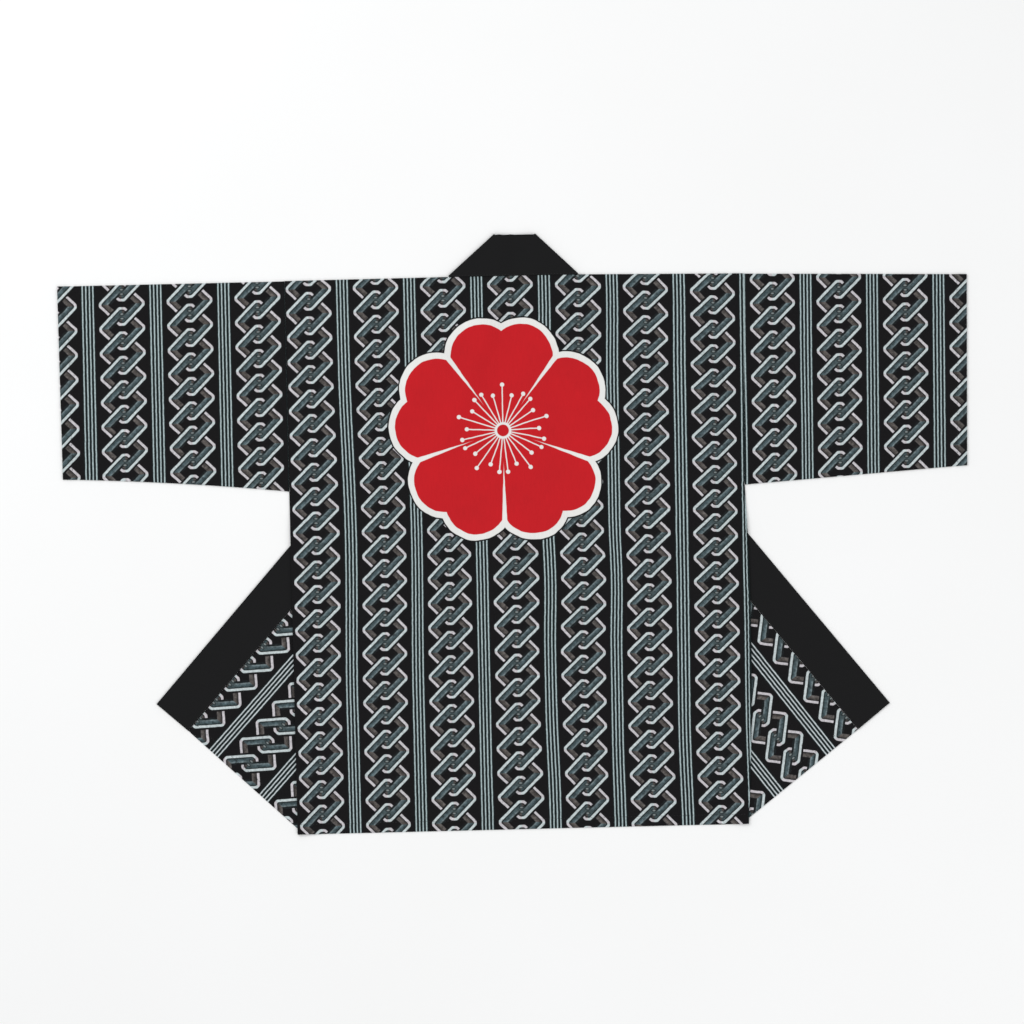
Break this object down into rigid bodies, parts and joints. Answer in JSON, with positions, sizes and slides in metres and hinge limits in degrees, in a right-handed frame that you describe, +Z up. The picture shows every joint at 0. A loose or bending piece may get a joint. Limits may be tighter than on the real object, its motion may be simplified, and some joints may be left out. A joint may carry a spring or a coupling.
{
  "type": "happi coat",
  "caption": "Short black happi coat printed with linked chains and stripes, laid flat with its back up, its fronts creased open and a plain black collar band.",
  "frame": {"origin": "middle of the coat's outline, on the surface that it lies on", "axes": "+X towards the wearer's right cuff, +Y from the hem to the collar, +Z up out of the back's outer face"},
  "size_m": [1.3111, 0.8662, 0.0067],
  "materials": {
    "printed_cotton": "matte printed plain-weave cotton",
    "plain_cotton": "matte plain black cotton"
  },
  "bodies": {
    "root": {"back": "printed_cotton", "front_left": "printed_cotton", "front_right": "printed_cotton", "sleeve_left": "printed_cotton", "sleeve_right": "printed_cotton", "collar": "plain_cotton"}
  },
  "joints": []
}
